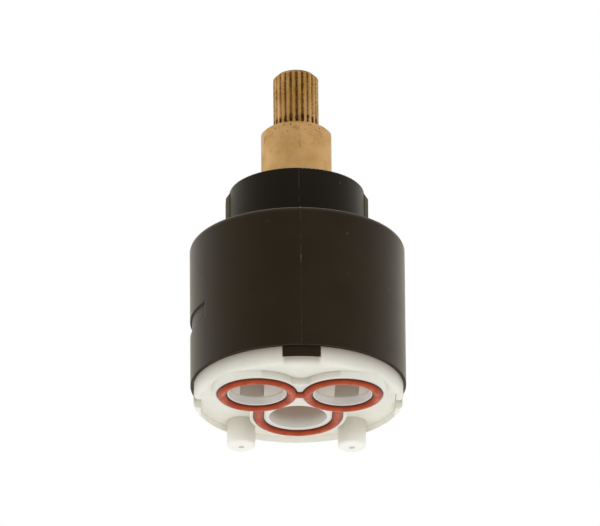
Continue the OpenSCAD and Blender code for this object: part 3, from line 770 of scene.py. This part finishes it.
def grow(name, start_mesh, tree, finish, body):
    """Run a geometry tree on a start mesh, keep the result as a plain mesh, and let it ride."""
    piece = new_object(name, start_mesh)
    modifier = piece.modifiers.new("grow", "NODES")
    modifier.node_group = tree
    for item in tree.interface.items_tree:
        if item.item_type == "SOCKET" and item.in_out == "INPUT" and item.name == "Material":
            modifier[item.identifier] = finishes[finish]
    depsgraph = bpy.context.evaluated_depsgraph_get()
    mesh = bpy.data.meshes.new_from_object(piece.evaluated_get(depsgraph))
    piece.modifiers.remove(modifier)
    piece.data = mesh
    mesh.name = name
    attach(piece, body)
    print(name, len(mesh.polygons), "faces, box", [round(d / MM, 2) for d in piece.dimensions], "mm")
    return piece


def bead_along(tree, curve, radius, sides=6):
    """A closed bead along a curve, whose radius may change from point to point."""
    profile = add(tree, "GeometryNodeCurvePrimitiveCircle", {"Resolution": sides, "Radius": 1.0})
    return add(tree, "GeometryNodeCurveToMesh",
               {"Curve": curve, "Profile Curve": profile, "Scale": radius, "Fill Caps": True})


def finish_tree(tree, mesh, material, result):
    """Shade the mesh smoothly, make it real, give it its material and close the tree."""
    smooth = join("GeometryNodeSetShadeSmooth", {0: mesh})
    real = join("GeometryNodeRealizeInstances", {0: smooth})
    done = join("GeometryNodeSetMaterial", {"Geometry": real, "Material": material})
    return close_tree(tree, result, Geometry=done)


print("geometry helpers ready")


# %% The seal's tree
def make_seal_tree():
    tree, given, result = new_geometry_tree("moulded_seal", {
        "Ring Radius": (NUMBER, RING_R * MM), "Ring Offset": (NUMBER, INLET_X * MM),
        "Ring Row": (NUMBER, INLET_Y * MM), "U Radius": (NUMBER, U_R * MM), "U Row": (NUMBER, OUTLET_Y * MM),
        "Section Radius": (NUMBER, SEAL_R * MM), "Fillet": (NUMBER, 0.5 * MM),
        "Groove Top": (NUMBER, GROOVE_TOP_Z * MM), "Lip Centre": (NUMBER, (GROOVE_TOP_Z - SEAL_R) * MM),
        "Voxel": (NUMBER, 0.12 * MM),
    })
    x, y, z = split(add(tree, "GeometryNodeInputPosition"))
    side = calc("ABSOLUTE", x)
    along_ring_row = minus(y, given["Ring Row"])

    from_ring = length(minus(side, given["Ring Offset"]), along_ring_row)
    ring = calc("ABSOLUTE", minus(from_ring, given["Ring Radius"]))
    bridge_end = minus(given["Ring Offset"], given["Ring Radius"])
    past_bridge = calc("MAXIMUM", minus(side, bridge_end), 0.0)
    bridge = length(past_bridge, along_ring_row)
    past_u_row = calc("MAXIMUM", minus(y, given["U Row"]), 0.0)
    from_u = minus(length(side, past_u_row), given["U Radius"])
    ring_touch = calc("ADD", given["Ring Row"], given["Ring Radius"])
    short_of_ring = calc("MAXIMUM", minus(ring_touch, y), 0.0)
    u_line = length(calc("ABSOLUTE", from_u), short_of_ring)
    centre = calc("SMOOTH_MIN", ring, bridge, given["Fillet"])
    centre = calc("SMOOTH_MIN", centre, u_line, given["Fillet"])
    centre = calc("MAXIMUM", centre, 0.0)
    drop = calc("MINIMUM", minus(z, given["Lip Centre"]), 0.0)
    skin = minus(length(centre, drop), given["Section Radius"])
    skin = calc("MAXIMUM", skin, minus(z, given["Groove Top"]))

    # The volume's box leaves 0.3 to 0.75 mm of air around the seal
    low = (-14.2 * MM, -14.0 * MM, -5.3 * MM)
    high = (14.2 * MM, 10.6 * MM, -3.0 * MM)
    counts = {f"Resolution {axis}": calc("DIVIDE", end - start, given["Voxel"])
              for axis, start, end in zip("XYZ", low, high)}
    density = calc("MULTIPLY", skin, -1.0)
    volume = add(tree, "GeometryNodeVolumeCube",
                 {"Density": density, "Background": -1.0, "Min": low, "Max": high, **counts})
    shell = add(tree, "GeometryNodeVolumeToMesh", {"Volume": volume, "Threshold": 0.0})
    return finish_tree(tree, shell, given["Material"], result)


seal_tree = make_seal_tree()

# %% Grow the seal
moulded_seal = grow("moulded_seal", bpy.data.meshes.new("moulded_seal"), seal_tree, "red_silicone",
                    body="valve_body")
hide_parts("port_seal")

# %% [markdown]
# ## The fillet between the two rings
# The land around the seal is made of two round plates that meet in a sharp V at the front. The
# real mould has a generous radius there, so the V looks like a soft dip. The fillet is the small
# shape between the two plates and a circle that touches both. Its outline comes from the circle's
# tangent points, and pushing that outline up into the base makes it a block.

# %% The fillet's outline and block
FILLET_R, FILLET_STEPS = 2.0, 14
OVERLAP, SHORT_OF_LAND, INTO_BASE = 0.06, 0.004, 0.1
WELD = 0.001


def fillet_outline():
    """The fillet's outline in millimetres: its own arc, then an arc inside each plate's edge."""
    reach = math.sqrt((LAND_R + FILLET_R) ** 2 - INLET_X ** 2)
    touch = math.atan2(reach, INLET_X)
    notch = math.acos(INLET_X / LAND_R)
    shares = [step / FILLET_STEPS for step in range(FILLET_STEPS + 1)]
    sweep = [touch + (math.pi - 2 * touch) * share for share in shares]
    outline = [(FILLET_R * math.cos(a), INLET_Y - reach + FILLET_R * math.sin(a)) for a in sweep]
    inside = LAND_R - OVERLAP
    left = [touch + (notch - touch) * share for share in shares]
    left_arc = [(-INLET_X + inside * math.cos(a), INLET_Y - inside * math.sin(a)) for a in left]
    return outline + left_arc + [(-x, y) for x, y in reversed(left_arc)]


def make_land_fillet():
    outline = fillet_outline()
    count = len(outline)
    low, high = LAND_Z + SHORT_OF_LAND, SUNK_FLOOR_Z + INTO_BASE
    points = [(x * MM, y * MM, z * MM) for z in (low, high) for x, y in outline]
    around = [(i, (i + 1) % count, count + (i + 1) % count, count + i) for i in range(count)]
    mesh = bpy.data.meshes.new("land_fillet")
    mesh.from_pydata(points, [], around + [tuple(range(count))[::-1], tuple(range(count, 2 * count))])
    shape = bmesh.new()
    shape.from_mesh(mesh)
    bmesh.ops.remove_doubles(shape, verts=shape.verts, dist=WELD * MM)
    bmesh.ops.triangulate(shape, faces=[face for face in shape.faces if len(face.verts) > 4])
    bmesh.ops.recalc_face_normals(shape, faces=shape.faces)
    shape.to_mesh(mesh)
    shape.free()
    mesh.materials.append(finishes["white_moulding"])
    fillet = new_object("land_fillet", mesh)
    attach(fillet, "valve_body")
    return fillet


land_fillet = make_land_fillet()
print("land fillet", len(land_fillet.data.polygons), "faces, apex at y",
      round(max(v.co.y for v in land_fillet.data.vertices) / MM, 2), "mm")

# %% [markdown]
# ## The parting lines
# The barrel is moulded between two steel halves. Where they close, a hair of plastic creeps out and
# leaves a thin line down the front and the back. A path follows the barrel's outline in that plane,
# and a geometry tree turns it into a ragged bead that is half sunk in the surface. The bead swells
# to a small nick on the shoulder's edge. It is paler there, and in one short dash halfway down.

# %% The parting line's tree
NICK_R, NICK_Z = BARREL_R - 0.6, SHOULDER_Z - 0.1
DASH_Z = 15.0


def make_flash_tree():
    tree, given, result = new_geometry_tree("parting_line", {
        "Thickness": (NUMBER, 0.06 * MM), "Step": (NUMBER, 0.15 * MM), "Raggedness": (NUMBER, 1.1),
        "Nick Radius": (NUMBER, NICK_R * MM), "Nick Height": (NUMBER, NICK_Z * MM),
        "Nick Swell": (NUMBER, 2.2), "Seed": (NUMBER, 3.0),
    })
    path = add(tree, "GeometryNodeMeshToCurve", {0: given["Geometry"]})
    curve = add(tree, "GeometryNodeResampleCurve", {"Curve": path, "Length": given["Step"]}, mode="LENGTH")
    position = add(tree, "GeometryNodeInputPosition")
    ragged = noise(position, 0.6 / MM, detail=3.0, W=given["Seed"])
    swing = product(minus(ragged, 0.5), 3.0, given["Raggedness"])
    bulge = calc("MAXIMUM", calc("ADD", 1.0, swing), 0.15)
    _, y, z = split(position)
    out_from_nick = minus(calc("ABSOLUTE", y), given["Nick Radius"])
    from_nick = length(out_from_nick, minus(z, given["Nick Height"]))
    nick = product(ramp(from_nick, 0.5 * MM, 0.2 * MM), given["Nick Swell"])
    radius = product(given["Thickness"], calc("ADD", nick, bulge))
    return finish_tree(tree, bead_along(tree, curve, radius), given["Material"], result)


flash_tree = make_flash_tree()

# %% The path of the parting lines
BARREL_FOOT_Z = 0.2
SUNK = 0.045
ROUND_STEPS = 6


def flash_profile():
    """Radius and height of the points down one side, sunk a little into the surface."""
    points = [(NECK_R - SUNK, NECK_TOP_Z - NECK_ROUND), (NECK_R - SUNK, SHOULDER_Z - SUNK)]
    reach = SHOULDER_ROUND - SUNK
    for step in range(ROUND_STEPS, -1, -1):
        tilt = math.pi / 2 * step / ROUND_STEPS
        points.append((BARREL_R - SHOULDER_ROUND + reach * math.cos(tilt),
                       SHOULDER_Z - SHOULDER_ROUND + reach * math.sin(tilt)))
    return points + [(BARREL_R - SUNK, BARREL_FOOT_Z)]


profile = flash_profile()
flash_points = [(0, side * radius * MM, height * MM) for side in (-1, 1) for radius, height in profile]
flash_edges = [(i, i + 1) for i in range(len(flash_points) - 1) if i != len(profile) - 1]
flash_mesh = bpy.data.meshes.new("parting_lines")
flash_mesh.from_pydata(flash_points, flash_edges, [])
print("path of", len(flash_points), "points")


# %% The flash's finish, and the lines
def make_flash():
    finish = Finish("thin_flash", Roughness=0.6, Specular_IOR_Level=0.2)
    finish.measure()
    grain = finish.group(grain_group, Patch_Size=1.6, Grain_Size=0.1)
    from_nick = length(minus(finish.radius, NICK_R), minus(finish.height, NICK_Z))
    from_dash = calc("ABSOLUTE", minus(finish.height, DASH_Z))
    in_dash = product(0.8, ramp(from_dash, 0.95, 0.5))
    finish.start_tone(grain["Tone"], 0.40, 0.62, (0.018, 0.012, 0.006), (0.048, 0.039, 0.027))
    finish.paint("pale nick and dash", (0.15, 0.13, 0.10),
                 calc("MAXIMUM", ramp(from_nick, 0.8, 0.5), in_dash))
    finish.bump(grain["Height"], depth=0.01, strength=0.8)
    finish.done()


make_flash()
grow("parting_lines", flash_mesh, flash_tree, "thin_flash", body="valve_body")

# %% [markdown]
# ## Tarnish in the spline
# Water dries last in the spline's grooves and leaves a brown crust there, thickest at their lower
# ends, where it looks like a row of dark pits. It isn't the same in any two grooves, and it is
# thinner in those at the sides. One line is placed around the axis once for every groove, a noise
# decides where the crust is missing, and the rest becomes a thin uneven bead in the groove.


# %% The crust's tree
def make_crust_tree():
    tree, given, result = new_geometry_tree("groove_crust", {
        "Grooves": ("NodeSocketInt", SPLINE_TEETH), "Root Radius": (NUMBER, (SPLINE_R - 0.3) * MM),
        "Foot": (NUMBER, (SPLINE_FOOT_Z + 1.1) * MM), "Top": (NUMBER, (SPLINE_FOOT_Z + 9.6) * MM),
        "Thickness": (NUMBER, 0.12 * MM), "Pit Thickness": (NUMBER, 0.24 * MM), "Cover": (NUMBER, 0.5),
        "Fade": (NUMBER, 0.12), "Step": (NUMBER, 0.12 * MM), "Seed": (NUMBER, 5.0),
    })
    line = add(tree, "GeometryNodeCurvePrimitiveLine", {
        "Start": combine(given["Root Radius"], 0.0, given["Foot"]),
        "End": combine(given["Root Radius"], 0.0, given["Top"])})
    places = add(tree, "GeometryNodePoints", {"Count": given["Grooves"]})
    turn = product(add(tree, "GeometryNodeInputIndex"), calc("DIVIDE", 2 * math.pi, given["Grooves"]))
    around = add(tree, "GeometryNodeInstanceOnPoints", {
        "Points": places, "Instance": line, "Rotation": combine(0.0, 0.0, turn)})
    lines = add(tree, "GeometryNodeRealizeInstances", {0: around})
    lines = add(tree, "GeometryNodeResampleCurve", {"Curve": lines, "Length": given["Step"]}, mode="LENGTH")

    position = add(tree, "GeometryNodeInputPosition")
    x, _, height = split(position)
    near_foot = ramp(minus(height, given["Foot"]), 1.6 * MM, 0.3 * MM)
    missing = minus(minus(1.0, given["Cover"]), product(near_foot, given["Fade"]))
    chance = noise(position, 0.7 / MM, detail=4.0, roughness=0.65, W=given["Seed"])
    body = calc("DIVIDE", minus(chance, missing), given["Fade"], clamp=True)
    middle = ramp(calc("ABSOLUTE", x), 3.1 * MM, 1.6 * MM)
    thickness = blend(near_foot, given["Thickness"], given["Pit Thickness"])
    radius = product(thickness, blend(middle, 0.5, 1.0), body)
    too_thin = calc("LESS_THAN", radius, 0.02 * MM)
    strands = add(tree, "GeometryNodeCurveToMesh", {"Curve": lines})
    kept = add(tree, "GeometryNodeDeleteGeometry", {"Geometry": strands, "Selection": too_thin},
               domain="POINT", mode="ALL")
    bead = bead_along(tree, add(tree, "GeometryNodeMeshToCurve", {0: kept}), radius)
    return finish_tree(tree, bead, given["Material"], result)


crust_tree = make_crust_tree()


# %% The crust's finish, and the crust
def make_crust():
    finish = Finish("groove_crust", Roughness=0.75, Specular_IOR_Level=0.2)
    grain = finish.group(grain_group, Patch_Size=0.8, Grain_Size=0.08)
    finish.start_tone(grain["Tone"], 0.35, 0.65, (0.035, 0.015, 0.004), (0.10, 0.048, 0.013))
    finish.bump(grain["Height"], depth=0.02, strength=0.8)
    finish.done()


make_crust()
grow("groove_crust", bpy.data.meshes.new("groove_crust"), crust_tree, "groove_crust",
     body="spindle_assembly")

# %% [markdown]
# ## Floor and light
# The camera looks up from under the level on which the pins stand, so the floor must not hide the
# cartridge from below. Its material shows only to camera rays that meet its upper face. Every other
# ray goes straight through. Seen from above it is a pale floor that takes the cartridge's shadow.

# %% The floor
FLOOR_GAP, FLOOR_HALF = 0.02 * MM, 3.0
floor_z = cad_box[0][2] - FLOOR_GAP
floor_corners = [(x * FLOOR_HALF, y * FLOOR_HALF, floor_z) for x, y in ((-1, -1), (1, -1), (1, 1), (-1, 1))]
floor_mesh = bpy.data.meshes.new("floor")
floor_mesh.from_pydata(floor_corners, [], [(0, 1, 2, 3)])
floor = new_object("floor", floor_mesh)


def make_floor_material():
    material = bpy.data.materials.new("pale_floor")
    material.use_nodes = True
    tree = material.node_tree
    tree.nodes.remove(tree.nodes["Principled BSDF"])
    upper_face = minus(1.0, add(tree, "ShaderNodeNewGeometry", out="Backfacing"))
    shown = product(add(tree, "ShaderNodeLightPath", out="Is Camera Ray"), upper_face)
    matt = add(tree, "ShaderNodeBsdfDiffuse", {"Color": (0.86, 0.86, 0.86, 1)})
    clear = add(tree, "ShaderNodeBsdfTransparent")
    surface = add(tree, "ShaderNodeMixShader", {0: shown, 1: clear, 2: matt})
    tree.links.new(surface, tree.nodes["Material Output"].inputs["Surface"])
    lay_out(tree)
    return material


floor_mesh.materials.append(make_floor_material())
print(f"floor at z {floor_z / MM:.2f} mm")

# %% [markdown]
# The room is white where the camera looks, and it lights the cartridge softly from all sides. Most
# of the light comes from the side on which the base is, because the photograph shows the base's
# lower face as its brightest part, and the camera's own side is dimmer, as behind any photographer.

# %% The room
AMBIENT, CAMERA_SIDE, FAR_SIDE = 0.80, 0.78, 1.0
WHITE = (1, 1, 1, 1)

world = bpy.data.worlds.new("white_room")
bpy.context.scene.world = world
world.use_nodes = True
room = world.node_tree
for item in list(room.nodes):
    room.nodes.remove(item)
towards_back = split(add(room, "ShaderNodeTexCoord", out="Generated"))[1]
mirrored = fit_range(towards_back, -0.9, 0.3, CAMERA_SIDE, FAR_SIDE, interpolation_type="SMOOTHSTEP")
paths = add(room, "ShaderNodeLightPath").node.outputs
soft_light = add(room, "ShaderNodeBackground", {"Color": WHITE, "Strength": AMBIENT})
reflection = add(room, "ShaderNodeBackground", {"Color": WHITE, "Strength": mirrored})
backdrop = add(room, "ShaderNodeBackground", {"Color": WHITE, "Strength": 1.0})
seen_in_gloss = calc("MAXIMUM", paths["Is Glossy Ray"], paths["Is Transmission Ray"])
mixed = add(room, "ShaderNodeMixShader", {0: seen_in_gloss, 1: soft_light, 2: reflection})
mixed = add(room, "ShaderNodeMixShader", {0: paths["Is Camera Ray"], 1: mixed, 2: backdrop})
room.links.new(mixed, room.nodes.new("ShaderNodeOutputWorld").inputs["Surface"])
lay_out(room)
print("room light", AMBIENT)


# %% Soft lamps
def soft_lamp(name, position, size, watts):
    """A square area lamp that faces the middle of the cartridge."""
    data = bpy.data.lights.new(name, "AREA")
    data.shape = "SQUARE"
    data.size = size
    data.energy = watts
    lamp = new_object(name, data)
    lamp.location = position
    lamp.rotation_euler = (AIM - Vector(position)).to_track_quat("-Z", "Y").to_euler()
    lamp.visible_camera = False
    print(name, watts, "W")


soft_lamp("base_softbox", (0.0, -0.25, -0.75), size=0.8, watts=1.4)
soft_lamp("top_softbox", (0.25, -0.45, 0.75), size=0.8, watts=0.7)
soft_lamp("left_softbox", (-0.9, 0.25, 0.1), size=0.7, watts=0.5)
soft_lamp("right_softbox", (0.9, 0.25, 0.1), size=0.7, watts=0.3)

# %% [markdown]
# ## Colour and the CAD box
# The view transform is Standard, so a colour leaves the render as it was written. The last line
# prints the CAD model's box.

# %% Finish
bpy.context.scene.view_settings.view_transform = "Standard"
print("CAD box", cad_box)
